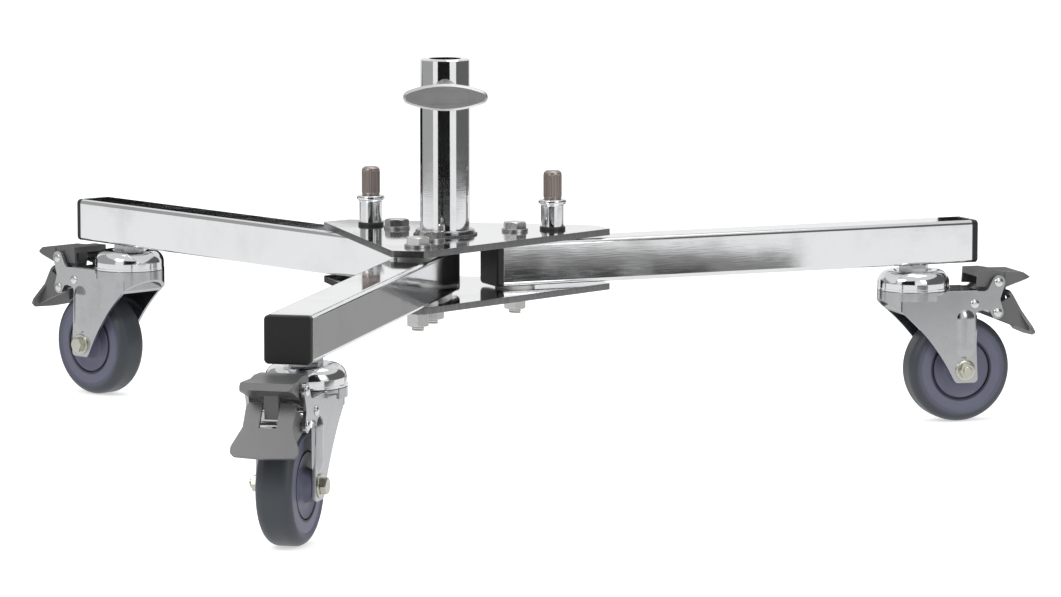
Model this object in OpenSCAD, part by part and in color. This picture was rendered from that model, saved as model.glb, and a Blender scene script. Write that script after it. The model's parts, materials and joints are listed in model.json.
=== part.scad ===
// Runway base stand: a low rolling base with a receiver column, one fixed leg and two folding legs.
// The origin is on the column's axis at floor level, and the fixed front leg points along -Y.

/* [Legs] */
// Width and height of the square leg tube
leg_w = 40; // [34:1:46]
// Wall of the leg tube
leg_wall = 2; // [1.5:0.25:3]
// Outside corner radius of the leg tube
leg_corner = 4; // [3:0.5:6]
// Column axis to the outer end of the fixed leg
front_reach = 545; // [450:5:700]
// Column axis to the outer end of each folding leg
side_reach = 535; // [450:5:700]
// Angle from the fixed leg to each folding leg
leg_spread = 126.5; // [120:0.5:135]
// Column axis to the inner end of a folding leg
side_leg_inner = 42.5; // [38:0.5:46]
// Column axis to the inner end of the fixed leg
front_leg_inner = 26; // [24:0.5:30]
// Thickness of an end cap's flange
cap_t = 6.5; // [4:0.5:8]
// Depth of an end cap's plug inside the tube
cap_plug = 10; // [6:0.5:10.5]

/* [Hub] */
// Thickness of each hub plate
plate_t = 6; // [4:0.5:10]
// Gap from a leg to each plate, filled by a slip disc
plate_gap = 2; // [1.5:0.1:4]
// Column axis to the plate's edge over a folding leg
plate_side_reach = 157; // [145:1:175]
// Column axis to the plate's edge over the fixed leg
plate_front_reach = 139; // [130:1:160]
// Length of each short plate edge
plate_end_w = 30; // [20:1:40]
// Corner radius of the plates
plate_corner = 3; // [1:0.5:6]
// Column axis to a folding leg's pivot bolt
pivot_reach = 68.5; // [68:0.5:75]
// Column axis to the inner bolt of the fixed leg
front_bolt_in = 52; // [52:0.5:60]
// Column axis to the outer bolt of the fixed leg
front_bolt_out = 104; // [85:1:115]
// Diameter of the hub bolts
bolt_d = 12; // [8:0.5:12]
// Clearance hole over bolt size in the plates
bolt_slack = 0.8; // [0.4:0.1:1.2]
// Outside diameter of the bushes welded into the legs
bush_d = 16; // [14:0.5:18]
// Outside diameter of the slip discs
disc_d = 36; // [28:1:40]

/* [Column] */
// Outside diameter of the column
column_d = 45; // [40:0.5:48]
// Bore that takes a stand's spigot
receiver_d = 28.6; // [25:0.1:32]
// Height of the column above the top plate
column_h = 159; // [120:1:220]
// Width of the welded foot collar round the column
collar_w = 4.5; // [3:0.5:6]
// Height of the foot collar
collar_h = 5.5; // [3:0.5:10]
// Column mouth to the clamp screw's axis
clamp_drop = 31; // [24:1:60]
// Direction of the clamp screw from the fixed leg
clamp_turn = 14; // [-40:1:40]
// Diameter of the clamp screw
clamp_d = 10; // [8:0.5:12]
// Length of the clamp screw's wing handle
wing_l = 75.5; // [60:0.5:90]
// Height of the wing handle
wing_h = 24; // [20:0.5:30]
// Thickness of the wing handle
wing_t = 8; // [6:0.5:12]
// Column axis to the handle's front face
wing_out = 52; // [48:0.5:62]

/* [Leg locks] */
// Column axis to a lock plunger
plunger_reach = 106; // [102:1:118]
// Diameter of the plunger's nose
nose_d = 12; // [8:0.5:14]
// Radial play of the nose in the leg's lock hole
lock_slack = 0.8; // [0.4:0.1:1.2]
// Diameter of the plunger's stem above the nose
shaft_d = 6; // [5:0.5:7]
// Travel of the plunger from raised to locked
plunger_travel = 8; // [7:0.5:9]
// Outside diameter of the plunger sleeve
sleeve_d = 21; // [20.5:0.5:24]
// Height of the sleeve above the plate
sleeve_h = 27.5; // [26:0.5:34]
// Diameter of the sleeve's rim
rim_d = 25.8; // [24:0.2:30]
// Thickness of the sleeve's rim
rim_t = 4; // [2:0.5:6]
// Diameter of the pull knob
knob_d = 17; // [14:0.5:17]
// Height of the knob above the rim
knob_h = 26.5; // [18:0.5:36]

/* [Casters] */
// Wheel's top to the underside of the legs
caster_rise = 50; // [46:1:60]
// Outer end of the leg to the caster's stem
stem_inset = 58; // [45:1:80]
// Wheel diameter over the tread
wheel_d = 100; // [92:1:104]
// Width of the tyre
tyre_w = 32; // [26:1:36]
// Thickness of the tyre from core to tread
tyre_t = 11; // [8:0.5:14]
// Swivel axis to wheel axle, measured level
trail = 43; // [38:0.5:46]
// Diameter of the swivel head
head_d = 67.5; // [62:0.5:72]
// Thickness of the fork's sheet
fork_t = 3; // [2:0.25:4]
// Clear width between the fork's sides
fork_gap = 45; // [42:0.5:50]
// Diameter of the caster's stem
stem_d = 12; // [10:0.5:14]
// Width of the stiffening rib pressed into each fork side
rib_w = 18; // [12:0.5:20]
// Height of the rib over the fork's sheet
rib_t = 2.5; // [1.5:0.25:3]
// Radius of the curve cut into the fork's front edge
scallop_r = 200; // [170:5:300]
// Diameter of the wheel axle bolt
axle_d = 8; // [6:0.5:10]
// Diameter of the flange under the axle's nut and head
flange_d = 20; // [18:0.5:22]
// Number of balls in the swivel race
race_balls = 14; // [8:1:18]
// Diameter of the race balls
ball_d = 6; // [5:0.25:6.5]
// Width of the brake pedal's tip
pedal_w = 52; // [46:1:60]
// Width of the release flap's tip
flap_w = 57; // [48:1:60]
// Heading of the front caster off its leg's line
front_turn = -3; // [-10:1:10]
// Heading of the left caster off its leg's line
left_turn = 5; // [-10:1:10]
// Heading of the right caster off its leg's line
right_turn = -7; // [-10:1:10]

/* [Fits] */
// Radial clearance of a running fit
run_gap = 0.05; // [0.02:0.01:0.1]
// Gap between pieces that move past each other
free_gap = 0.3; // [0.2:0.05:0.5]

/* [Hidden] */
$fn = 64;

// Leg directions, counted from +X
FRONT = -90;
LEFT = -90 - leg_spread;
RIGHT = -90 + leg_spread;

// Heights from the floor up
caster_h = wheel_d + caster_rise;
leg_top = caster_h + leg_w;
low_plate_top = caster_h - plate_gap;
low_plate_bottom = low_plate_top - plate_t;
top_plate_bottom = leg_top + plate_gap;
deck = top_plate_bottom + plate_t;
clamp_z = deck + column_h - clamp_drop;

// Fasteners, sized from their thread
washer_t = 2.5;
washer_d = 2 * bolt_d;
bolt_hex = bolt_d * 1.83;
bolt_head_h = bolt_d * 0.66;
nut_h = bolt_d;
bolt_end = 4;
slip_gap = 0.1;
HUB_BOLTS = [[FRONT, front_bolt_in], [FRONT, front_bolt_out], [LEFT, pivot_reach], [RIGHT, pivot_reach]];
PIVOTS = [LEFT, RIGHT];

// Plunger, measured up from the deck
guide_d = nose_d + 2 * run_gap;
skirt_bore = knob_d + 2 * free_gap;
web_t = 1.5;
knob_skirt = 2;
web_top = sleeve_h - knob_skirt - plunger_travel - 2;
spring_room = web_top - web_t - plunger_travel;
spring_wire = 1;
spring_turns = 4;
nose_tip = 0.6 - plate_t;
nose_chamfer = 1.5;

// Caster, measured in its own frame: X along its heading, Z down from the leg's underside
axle_z = wheel_d / 2 - caster_h;
hex_h = 9;
hex_d = 29;
crown_top = -25;
seam = 0.6;
bulge_r = 11.5;
bulge_at = [head_d / 2 - bulge_r, crown_top + 7.5];
head_skin = 2.5;
race_z = bulge_at[1] + bulge_r - head_skin - ball_d / 2;
crown_r = head_d / 2 + 0.4;
crown_bottom = crown_top - fork_t;
fork_y = fork_gap / 2;
fork_end = 56;
skirt_h = 8;
wall_h = 20;
toe_r = 4;
toe = axle_z - 12;
fillet = 5;
flange_t = 1.5;
retainer_d = 24;
core_r = wheel_d / 2 - tyre_t;
bush_end = fork_y - 0.05;
axle_bush_d = axle_d + 4;
axle_hex = axle_d * 1.85;

// Brake, in the caster's frame
pedal_pivot = [trail + 33, -18];
release_pivot = [trail + 32, -46.5];
leaf_pivot = [trail + 9, -37.5];
pin_d = 5;
pin_head_d = 9;
ear_r = 6.5;
pedal_in_w = fork_gap - 3;
pedal_wall = 3;
slot_w = 15;

// Small shared shapes

module at_leg(angle) {
    rotate([0, 0, angle]) translate([0, 0, caster_h]) children();
}

module at_caster(angle, reach, turn) {
    at_leg(angle) translate([reach - stem_inset, 0, 0]) rotate([0, 0, turn]) children();
}

module at_hub(spot) {
    rotate([0, 0, spot[0]]) translate([spot[1], 0, 0]) children();
}

// Turns an XY outline into a plate that stands on edge across Y, centred on Y
module across(w) {
    translate([0, w / 2, 0]) rotate([90, 0, 0]) linear_extrude(w) children();
}

module ring(outer_d, inner_d, h) {
    difference() {
        cylinder(d = outer_d, h = h);
        translate([0, 0, -1]) cylinder(d = inner_d, h = h + 2);
    }
}

module hex(d, h) {
    cylinder(d = d, h = h, $fn = 6);
}

module rounded_square(w, r) {
    offset(r = r) square(w - 2 * r, center = true);
}

// Hub

function end_corner(angle, reach, side) =
    [reach * cos(angle) - side * plate_end_w / 2 * sin(angle),
     reach * sin(angle) + side * plate_end_w / 2 * cos(angle)];

module plate_outline() {
    ends = [[FRONT, plate_front_reach], [RIGHT, plate_side_reach], [LEFT, plate_side_reach]];
    offset(r = plate_corner) offset(delta = -plate_corner)
        polygon([for (e = ends) for (side = [-1, 1]) end_corner(e[0], e[1], side)]);
}

module plate_blank() {
    difference() {
        linear_extrude(plate_t) plate_outline();
        for (spot = HUB_BOLTS) at_hub(spot) translate([0, 0, -1]) cylinder(d = bolt_d + bolt_slack, h = plate_t + 2);
    }
}

module top_plate() {
    color("#c9cbce") translate([0, 0, top_plate_bottom]) difference() {
        plate_blank();
        for (a = PIVOTS) at_hub([a, plunger_reach])
            translate([0, 0, -1]) cylinder(d = nose_d + 2 * run_gap, h = plate_t + 2);
    }
}

module bottom_plate() {
    color("#c9cbce") translate([0, 0, low_plate_bottom]) plate_blank();
}

module column_tube() {
    mouth = 1.2;
    color("#c4c6ca") translate([0, 0, deck]) difference() {
        rotate_extrude() polygon([
            [receiver_d / 2, 0], [column_d / 2, 0], [column_d / 2, column_h - mouth],
            [column_d / 2 - mouth, column_h], [receiver_d / 2, column_h]
        ]);
        rotate([0, 0, FRONT + clamp_turn]) translate([0, 0, column_h - clamp_drop]) rotate([0, 90, 0])
            cylinder(d = clamp_d + 2 * run_gap, h = column_d);
    }
}

module column_collar() {
    lip = 1.5;
    r = column_d / 2;
    color("#b9bbbf") translate([0, 0, deck]) rotate_extrude() polygon([
        [r, 0], [r + collar_w, 0], [r + collar_w, collar_h - lip], [r + collar_w - lip, collar_h], [r, collar_h]
    ]);
}

module on_clamp() {
    rotate([0, 0, FRONT + clamp_turn]) translate([0, 0, clamp_z]) rotate([0, 90, 0]) children();
}

module clamp_screw() {
    tip = receiver_d / 2 + 0.5;
    chamfer = 1;
    color("#9a9c9f") on_clamp() rotate_extrude() polygon([
        [0, tip], [clamp_d / 2 - chamfer, tip], [clamp_d / 2, tip + chamfer],
        [clamp_d / 2, wing_out - wing_t + 2], [0, wing_out - wing_t + 2]
    ]);
}

// The wing is a long oval casting, two wide arcs that meet in round tips, with a bare panel on its face
module wing_outline(grow) {
    tip_r = wing_h / 4;
    half_l = wing_l / 2 - tip_r;
    half_h = wing_h / 2 - tip_r;
    arc_r = (half_l * half_l + half_h * half_h) / (2 * half_h);
    offset(r = tip_r + grow) intersection_for(side = [-1, 1])
        translate([side * (arc_r - half_h), 0]) circle(r = arc_r, $fn = 180);
}

module clamp_handle() {
    bevel = 2;
    boss_d = clamp_d + 8;
    color("#a9abae") on_clamp() difference() {
        union() {
            hull() {
                translate([0, 0, wing_out - wing_t]) linear_extrude(wing_t - bevel) wing_outline(0);
                translate([0, 0, wing_out - 1]) linear_extrude(1) wing_outline(-bevel);
            }
            translate([0, 0, column_d / 2 + 4]) cylinder(d = boss_d, h = wing_out - wing_t - column_d / 2 - 3);
        }
        translate([0, 0, wing_out - 0.8]) linear_extrude(2) square([wing_h * 0.5, wing_l * 0.58], center = true);
        translate([0, 0, 0]) cylinder(d = clamp_d, h = wing_out - wing_t + 2);
    }
}

module hub_bolts() {
    color("#b4b6b8") for (spot = HUB_BOLTS) at_hub(spot) {
        translate([0, 0, deck + washer_t]) hex(bolt_hex, bolt_head_h);
        translate([0, 0, low_plate_bottom - washer_t - nut_h - bolt_end])
            cylinder(d = bolt_d, h = deck + washer_t - low_plate_bottom + washer_t + nut_h + bolt_end);
    }
}

module hub_nuts() {
    color("#b4b6b8") for (spot = HUB_BOLTS) at_hub(spot)
        translate([0, 0, low_plate_bottom - washer_t - nut_h]) difference() {
            hex(bolt_hex, nut_h);
            translate([0, 0, -1]) cylinder(d = bolt_d, h = nut_h + 2);
        }
}

module hub_washers() {
    color("#8f9194") for (spot = HUB_BOLTS) at_hub(spot)
        for (z = [deck, low_plate_bottom - washer_t])
            translate([0, 0, z]) ring(washer_d, bolt_d + bolt_slack, washer_t);
}

// The discs fill the gap at the fixed leg and leave a slip gap at the folding legs
module slip_discs() {
    color("#e4e2da") for (spot = HUB_BOLTS) at_hub(spot) {
        disc_t = plate_gap - (spot[0] == FRONT ? 0 : slip_gap);
        for (z = [top_plate_bottom - disc_t, low_plate_top])
            translate([0, 0, z]) ring(disc_d, bolt_d + bolt_slack, disc_t);
    }
}

// Legs

module tube_profile() {
    difference() {
        rounded_square(leg_w, leg_corner);
        rounded_square(leg_w - 2 * leg_wall, leg_corner - leg_wall + 1);
    }
}

// A leg tube in its own frame: X runs outward from the column's axis, Z up from the underside
module leg_tube(inner, outer, bushes, slack, lock_hole) {
    difference() {
        union() {
            translate([inner + cap_t, 0, leg_w / 2]) rotate([90, 0, 90])
                linear_extrude(outer - inner - 2 * cap_t) tube_profile();
            for (x = bushes) translate([x, 0, 0]) cylinder(d = bush_d, h = leg_w);
        }
        for (x = bushes) translate([x, 0, -1]) cylinder(d = bolt_d + 2 * slack, h = leg_w + 2);
        translate([outer - stem_inset, 0, -1]) cylinder(d = stem_d, h = leg_wall + 2);
        if (lock_hole)
            translate([plunger_reach, 0, leg_w - leg_wall - 1]) cylinder(d = nose_d + 2 * lock_slack, h = leg_wall + 2);
    }
}

module front_leg_tube() {
    color("#cfd1d4") at_leg(FRONT) leg_tube(front_leg_inner, front_reach, [front_bolt_in, front_bolt_out], 0, false);
}

module left_leg_tube() {
    color("#cfd1d4") at_leg(LEFT) leg_tube(side_leg_inner, side_reach, [pivot_reach], run_gap, true);
}

module right_leg_tube() {
    color("#cfd1d4") at_leg(RIGHT) leg_tube(side_leg_inner, side_reach, [pivot_reach], run_gap, true);
}

// A cap with its flange's outer face at the origin, facing +X, and its plug running back
module end_cap() {
    edge = 1.2;
    plug = leg_w - 2 * leg_wall - 0.4;
    color("#232323") {
        hull() {
            translate([-cap_t, 0, leg_w / 2]) rotate([90, 0, 90])
                linear_extrude(cap_t - edge) rounded_square(leg_w, leg_corner);
            translate([-cap_t, 0, leg_w / 2]) rotate([90, 0, 90])
                linear_extrude(cap_t) rounded_square(leg_w - 2 * edge, leg_corner - edge);
        }
        translate([-cap_t - cap_plug, 0, leg_w / 2]) rotate([90, 0, 90]) linear_extrude(cap_plug) difference() {
            rounded_square(plug, 2);
            rounded_square(plug - 5, 1);
        }
    }
}

module end_caps(inner, outer) {
    translate([outer, 0, 0]) end_cap();
    translate([inner, 0, 0]) rotate([0, 0, 180]) end_cap();
}

module front_end_caps() {
    at_leg(FRONT) end_caps(front_leg_inner, front_reach);
}

module left_end_caps() {
    at_leg(LEFT) end_caps(side_leg_inner, side_reach);
}

module right_end_caps() {
    at_leg(RIGHT) end_caps(side_leg_inner, side_reach);
}

// Leg locks, each a sleeve on the deck with a sprung pin and a pull knob

module on_lock(angle) {
    at_hub([angle, plunger_reach]) translate([0, 0, deck]) children();
}

module plunger_sleeves() {
    color("#bfc1c4") for (a = PIVOTS) on_lock(a) rotate_extrude() difference() {
        union() {
            square([sleeve_d / 2, sleeve_h]);
            translate([0, sleeve_h - rim_t]) polygon([
                [0, 0], [rim_d / 2 - 1, 0], [rim_d / 2, 1], [rim_d / 2, rim_t - 1], [rim_d / 2 - 1, rim_t], [0, rim_t]
            ]);
        }
        translate([0, -1]) square([guide_d / 2, web_top - web_t + 1]);
        translate([0, web_top]) square([skirt_bore / 2, sleeve_h]);
        square([shaft_d / 2 + run_gap, sleeve_h]);
    }
}

module plunger_base_rings() {
    color("#3a3b3d") for (a = PIVOTS) on_lock(a) ring(sleeve_d + 2.4, sleeve_d, 3);
}

// The pin is drawn raised, with its nose just inside the plate and the spring on the nose's shoulder
module plunger_pin(angle) {
    color("#a5a7aa") on_lock(angle) rotate_extrude() polygon([
        [0, nose_tip], [nose_d / 2 - nose_chamfer, nose_tip], [nose_d / 2, nose_tip + nose_chamfer],
        [nose_d / 2, plunger_travel], [shaft_d / 2, plunger_travel],
        [shaft_d / 2, sleeve_h + knob_h - 10], [0, sleeve_h + knob_h - 10]
    ]);
}

module plunger_knob(angle) {
    top = sleeve_h + knob_h;
    cone = 3;
    color("#85766b") on_lock(angle) difference() {
        rotate_extrude() polygon([
            [0, sleeve_h - knob_skirt], [knob_d / 2, sleeve_h - knob_skirt], [knob_d / 2, top - cone],
            [knob_d / 2 - cone * 0.7, top], [0, top]
        ]);
        translate([0, 0, sleeve_h - knob_skirt - 1]) cylinder(d = shaft_d, h = knob_h + knob_skirt - 9);
    }
}

function coil_point(t, r, pitch, w, s) =
    [(r + w * cos(s)) * cos(t), (r + w * cos(s)) * sin(t), pitch * t / 360 + w * sin(s)];

// A plain coil spring, its wire swept ring by ring round the helix
module coil_spring(r, h, turns, wire) {
    sides = 8;
    steps = 20 * turns;
    pitch = (h - wire) / turns;
    points = [for (i = [0:steps]) for (k = [0:sides - 1])
        coil_point(360 * turns * i / steps, r, pitch, wire / 2, 360 * k / sides)];
    walls = [for (i = [0:steps - 1]) for (k = [0:sides - 1])
        [i * sides + k, i * sides + (k + 1) % sides, (i + 1) * sides + (k + 1) % sides, (i + 1) * sides + k]];
    first = [for (k = [0:sides - 1]) sides - 1 - k];
    last = [for (k = [0:sides - 1]) steps * sides + k];
    translate([0, 0, wire / 2]) polyhedron(points, concat(walls, [first, last]));
}

module plunger_spring(angle) {
    color("#77797c") on_lock(angle) translate([0, 0, plunger_travel])
        coil_spring((shaft_d + guide_d) / 4, spring_room, spring_turns, spring_wire);
}

module left_plunger_spring() {
    plunger_spring(LEFT);
}

module left_plunger_pin() {
    plunger_pin(LEFT);
}

module left_plunger_knob() {
    plunger_knob(LEFT);
}

module right_plunger_spring() {
    plunger_spring(RIGHT);
}

module right_plunger_pin() {
    plunger_pin(RIGHT);
}

module right_plunger_knob() {
    plunger_knob(RIGHT);
}

// Caster pieces, each drawn in the caster's own frame

module stem_nut() {
    color("#9c9ea1") translate([0, 0, leg_wall]) difference() {
        hex(stem_d * 1.83, stem_d * 0.8);
        translate([0, 0, -1]) cylinder(d = stem_d, h = stem_d);
    }
}

module stem() {
    rivet_h = 3;
    color("#b0b2b4") {
        translate([0, 0, crown_bottom - seam - head_skin - rivet_h])
            cylinder(d = stem_d, h = leg_wall + stem_d + rivet_h + head_skin + seam - crown_bottom);
        translate([0, 0, -hex_h]) hex(hex_d, hex_h);
        translate([0, 0, crown_bottom - seam - head_skin]) cylinder(d = retainer_d, h = head_skin);
        translate([0, 0, crown_bottom - seam - head_skin - rivet_h])
            cylinder(d1 = stem_d + 2, d2 = stem_d + 5, h = rivet_h);
    }
}

// The fixed upper half of the swivel: a pressed cap with a rolled race
module head() {
    color("#c6c8ca") rotate_extrude() difference() {
        union() {
            translate(bulge_at) circle(r = bulge_r);
            translate([bulge_at[0] - bulge_r, crown_top + seam]) square([2 * bulge_r, bulge_at[1] - crown_top - seam]);
            translate([0, -hex_h - head_skin - 0.5]) square([bulge_at[0] - 4, head_skin + 0.5]);
        }
        translate(bulge_at) circle(r = bulge_r - head_skin);
        translate([bulge_at[0] - bulge_r + head_skin, crown_top - 1])
            square([2 * (bulge_r - head_skin), bulge_at[1] - crown_top + 1]);
        translate([0, crown_top - 10]) square([200, 10 + seam]);
        translate([-100, -100]) square([100 + stem_d / 2, 200]);
    }
}

module balls() {
    color("#d8d9da") for (i = [0:race_balls - 1])
        rotate([0, 0, 360 * i / race_balls]) translate([bulge_at[0], 0, race_z]) sphere(d = ball_d, $fn = 32);
}

// Centre of the circle that cuts the concave front edge, from the skirt down to the toe
function scallop_at(from, to) =
    (from + to) / 2 + sqrt(scallop_r * scallop_r - norm(to - from) * norm(to - from) / 4)
    * [(to - from)[1], -(to - from)[0]] / norm(to - from);

module scallop() {
    from = [-crown_r, crown_top - skirt_h];
    to = [trail - axle_d - toe_r / 2, toe];
    translate(scallop_at(from, to)) circle(r = scallop_r, $fn = 180);
}

// Outline of one side of the fork: a blade down to the axle and an arm that carries the brake
module fork_side_outline() {
    top = crown_top - 0.6;
    arm = pedal_pivot - [7, 16];
    difference() {
        offset(r = -fillet) offset(delta = fillet) {
            hull() {
                for (x = [trail - 7, trail + 8.5]) translate([x, toe + toe_r]) circle(r = toe_r);
                translate([-crown_r * 0.6, top - 25]) square([trail + 8.5 + crown_r * 0.6, 25]);
            }
            hull() {
                translate([trail, top - 20]) square([8, 20]);
                translate(arm) circle(r = ear_r + 1.5);
            }
            for (p = [[pedal_pivot, ear_r], [release_pivot, ear_r - 0.5]]) hull() {
                translate(p[0]) circle(r = p[1]);
                translate(arm) circle(r = ear_r + 1.5);
            }
        }
        scallop();
    }
}

// Half-round rib down both sides of the fork, rounded at both ends, from the leaf's rivet to the axle's flange
module fork_rib() {
    r = (rib_w * rib_w / 4 + rib_t * rib_t) / (2 * rib_t);
    low = axle_z + flange_d / 2 + rib_w / 2 + 1;
    high = leaf_pivot[1] - pin_head_d / 2 - rib_w / 2 - 1;
    for (side = [-1, 1]) translate([trail, side * (fork_y + fork_t + rib_t - r), low]) {
        cylinder(r = r, h = high - low);
        for (z = [0, high - low]) translate([0, 0, z]) sphere(r = r);
    }
}

// Both sides at once: the outline runs the full width, and the wheel's gap is taken out of it
module fork_sides() {
    side_w = 2 * (fork_y + fork_t);
    difference() {
        union() {
            across(side_w) fork_side_outline();
            fork_rib();
            translate([0, 0, crown_top - wall_h]) rotate_extrude(angle = 100, start = 130)
                translate([crown_r - fork_t, 0]) square([fork_t, wall_h]);
        }
        across(4 * side_w) scallop();
        translate([-crown_r / 2, -fork_y, axle_z - wheel_d]) cube([3 * wheel_d, 2 * fork_y, 2 * wheel_d]);
        translate([trail, 0, axle_z]) rotate([90, 0, 0]) cylinder(d = axle_d, h = 2 * side_w, center = true);
        for (p = [pedal_pivot, release_pivot, leaf_pivot])
            translate([p[0], 0, p[1]]) rotate([90, 0, 0]) cylinder(d = pin_d, h = 2 * side_w, center = true);
    }
}

module fork() {
    hump_r = 6.3;
    shell = 0.6;
    race_low = race_z - ball_d / 2;
    color("#bcbec0") {
        difference() {
            union() {
                translate([0, 0, crown_bottom]) cylinder(r = crown_r - shell, h = fork_t);
                translate([0, -fork_y - 1, crown_bottom]) cube([fork_end, 2 * fork_y + 2, fork_t]);
                translate([0, 0, crown_top - skirt_h]) rotate_extrude(angle = 220, start = 70)
                    translate([crown_r - fork_t, 0]) square([fork_t, skirt_h + shell / 2]);
                rotate_extrude() translate([bulge_at[0], crown_top - 1]) difference() {
                    translate([-hump_r, 0]) square([2 * hump_r, race_low - crown_top + 2]);
                    translate([0, race_z - crown_top + 1]) circle(d = ball_d + 2 * run_gap);
                }
            }
            translate([0, 0, crown_bottom - 1]) cylinder(d = stem_d + 2 * free_gap, h = fork_t + 2);
        }
        fork_sides();
    }
}

// Axle bolt, its locknut and the steel bush that the wheel runs on
module axle() {
    out = fork_y + fork_t;
    head = axle_d * 0.65;
    color("#b8b9ae") translate([trail, 0, axle_z]) rotate([90, 0, 0]) {
        translate([0, 0, -out - flange_t - head]) hex(axle_hex, head);
        translate([0, 0, -out - flange_t]) cylinder(d = flange_d, h = flange_t);
        translate([0, 0, -out]) cylinder(d = axle_d, h = 2 * out + flange_t + axle_d + 2);
        translate([0, 0, out]) difference() {
            union() {
                cylinder(d1 = flange_d, d2 = flange_d - flange_t, h = flange_t);
                hex(axle_hex, flange_t + axle_d);
            }
            translate([0, 0, -1]) cylinder(d = axle_d, h = flange_t + axle_d + 2);
        }
        translate([0, 0, -bush_end]) ring(axle_bush_d, axle_d, 2 * bush_end);
    }
}

module on_axle() {
    translate([trail, 0, axle_z]) rotate([90, 0, 0]) children();
}

// Wheel core: hub, dished web with a round groove on each face, and rim
module wheel_core() {
    hub_r = axle_bush_d / 2 + 7;
    hub_half = fork_y - free_gap;
    face = tyre_w / 2 - 1.5;
    groove_r = core_r * 0.73;
    groove = 1.4;
    half = [
        [axle_bush_d / 2 + run_gap, 0], [axle_bush_d / 2 + run_gap, hub_half], [hub_r - 1, hub_half],
        [hub_r, hub_half - 1], [hub_r + 1, face - 1], [groove_r - groove, face], [groove_r - groove, face - 2.5],
        [groove_r, face - 2.5], [groove_r, face], [core_r, face], [core_r, 0]
    ];
    color("#6d6c80") on_axle() rotate_extrude() polygon(
        concat(half, [for (i = [len(half) - 2:-1:1]) [half[i][0], -half[i][1]]]));
}

module tyre() {
    shoulder = tyre_t * 0.9;
    r = wheel_d / 2;
    color("#4a4d52") on_axle() rotate_extrude() difference() {
        hull() {
            translate([core_r, -tyre_w / 2 + 1]) square([1, tyre_w - 2]);
            for (side = [-1, 1]) translate([r - shoulder, side * (tyre_w / 2 - shoulder)]) circle(r = shoulder);
        }
        translate([0, -tyre_w]) square([core_r, 2 * tyre_w]);
    }
}

// Spring-steel leaf that the pedal presses onto the tread
module brake_leaf() {
    leaf_w = 22;
    leaf_t = 2;
    tread_gap = 2;
    tread_top = axle_z + wheel_d / 2;
    color("#8a8c8f") difference() {
        across(leaf_w) {
            translate(leaf_pivot) circle(r = pin_d / 2 + 2);
            hull() {
                translate(leaf_pivot - [0, 3.5]) circle(d = leaf_t);
                translate([trail - 8, tread_top + tread_gap + leaf_t / 2 + 1]) circle(d = leaf_t);
            }
            hull() {
                translate(leaf_pivot + [0, 3.5]) circle(d = leaf_t);
                translate([trail + 24, crown_top - fork_t - 2]) circle(d = leaf_t);
            }
        }
        translate([leaf_pivot[0], 0, leaf_pivot[1]]) rotate([90, 0, 0])
            cylinder(d = pin_d + 2 * run_gap, h = 2 * leaf_w, center = true);
    }
}

module brake_pins() {
    pin_head = 2;
    span = 2 * (fork_y + fork_t);
    color("#c8c9c5") for (p = [pedal_pivot, release_pivot, leaf_pivot])
        translate([p[0], 0, p[1]]) for (turn = [90, -90]) rotate([turn, 0, 0]) {
            cylinder(d = pin_d, h = span / 2);
            translate([0, 0, span / 2]) cylinder(d1 = pin_head_d, d2 = pin_head_d - 3, h = pin_head);
        }
}

// Upper pedal: a covered channel between the arms that widens to a tip, with a tongue below
module pedal() {
    top = -7;
    inner = trail + 4;
    tip = [trail + 66.5, -14.5];
    tip_r = 8;
    neck = pedal_pivot[0] + ear_r + 1.5;
    cam_w = 12;
    color("#6f7072") difference() {
        union() {
            across(cam_w) polygon([
                pedal_pivot + [-9, 8], pedal_pivot + [6, 8], pedal_pivot + [4, -8],
                pedal_pivot + [-5.5, -14], pedal_pivot + [-7, -11]
            ]);
            across(pedal_in_w) polygon([
                [inner, top - 15], [inner + 2, top], [inner + 26, top], [neck, top - 2], [neck, -24],
                [pedal_pivot[0], -26], [pedal_pivot[0] - 10, -22.5]
            ]);
            intersection() {
                across(pedal_w) polygon([[neck, top - 2], [tip[0] - 8, tip[1] + 5], tip, [neck, -23.5]]);
                translate([0, 0, axle_z]) linear_extrude(-axle_z) hull() {
                    translate([neck, 3 - pedal_w / 2]) square([1, pedal_w - 6]);
                    for (side = [-1, 1]) translate([tip[0] - tip_r, side * (pedal_w / 2 - tip_r)]) circle(r = tip_r);
                }
            }
            across(slot_w - 3) polygon([
                [neck + 1, -22], [neck + 7, -21], [release_pivot[0] + 15, release_pivot[1] + 6],
                [release_pivot[0] + 11, release_pivot[1] + 6]
            ]);
        }
        for (side = [-1, 1]) translate([0, side * (pedal_in_w / 2 - pedal_wall + cam_w / 2) / 2, 0])
            across(pedal_in_w / 2 - pedal_wall - cam_w / 2) polygon([
                [inner - 5, top - 20], [inner + 2, top - pedal_wall - 1], [neck - 2, top - pedal_wall - 2],
                [neck - 2, -30], [inner, -30]
            ]);
        across(cam_w + 1) polygon([
            [inner - 5, top - 20], [inner + 2, top - pedal_wall - 1], [pedal_pivot[0] - 9, top - pedal_wall - 1],
            [pedal_pivot[0] - 9, -23], [pedal_pivot[0] - 6.5, -27], [inner, -27]
        ]);
        translate([pedal_pivot[0], 0, pedal_pivot[1]]) rotate([90, 0, 0])
            cylinder(d = pin_d + 2 * run_gap, h = 100, center = true);
    }
}

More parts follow.
